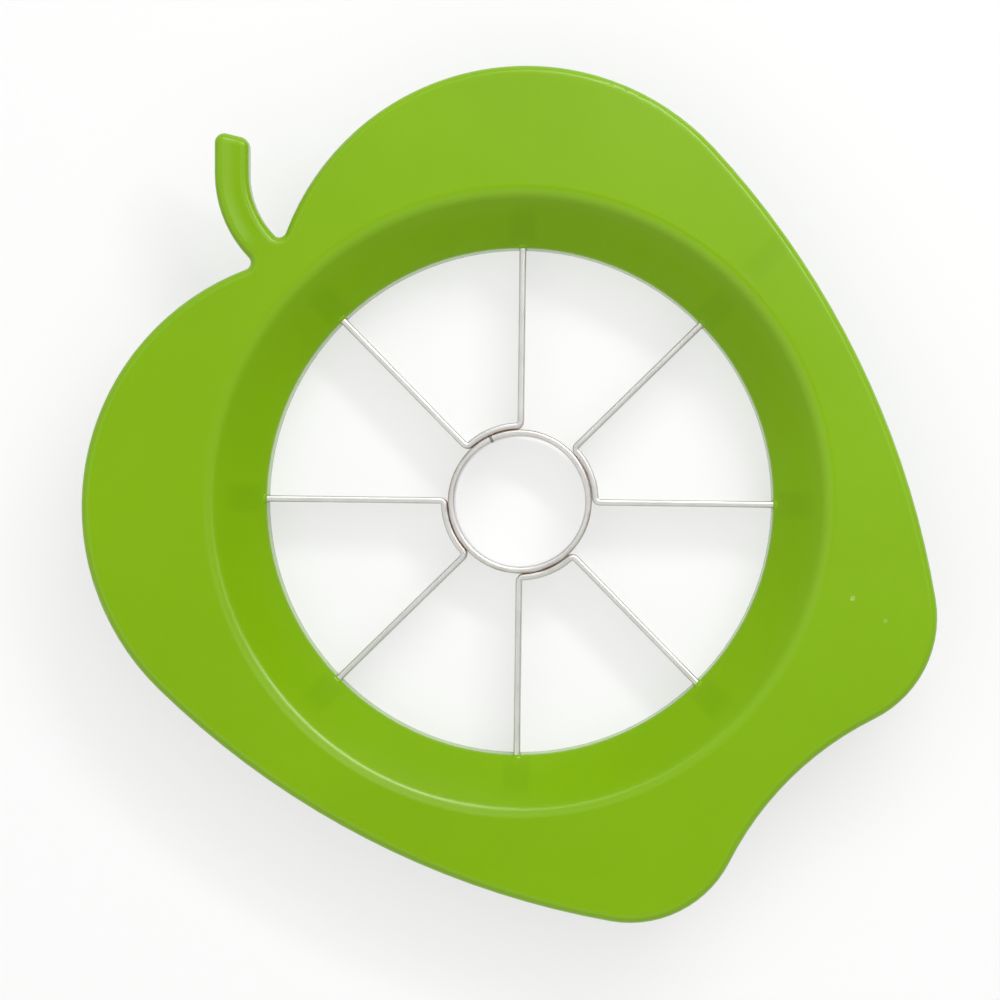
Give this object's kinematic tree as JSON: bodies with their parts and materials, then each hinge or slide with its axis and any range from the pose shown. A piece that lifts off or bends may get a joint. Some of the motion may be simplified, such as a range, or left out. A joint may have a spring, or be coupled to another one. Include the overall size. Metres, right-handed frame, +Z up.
{
  "type": "apple slicer",
  "caption": "Hand-pressed apple slicer and corer: an apple-shaped moulded frame with a funnel around a ring of steel blades that meet at a round coring tube.",
  "frame": {"origin": "on the axis of the core ring, on the plane that the slicer stands on, 0.6 mm under the ring's cutting edge", "axes": "+Z up the core ring's axis to the side that the hands press, +Y towards the stem's end of the apple outline, +X to the right seen from above"},
  "size_m": [0.1536, 0.1538, 0.018],
  "materials": {
    "green_plastic": "glossy injection-moulded plastic, apple green",
    "blade_steel": "fine rolled stainless strip"
  },
  "bodies": {
    "root": {"apple_body": "green_plastic", "closing_ring": "green_plastic", "core_ring": "blade_steel", "blade_strip_1": "blade_steel", "blade_strip_2": "blade_steel", "blade_strip_3": "blade_steel", "blade_strip_4": "blade_steel"}
  },
  "joints": []
}
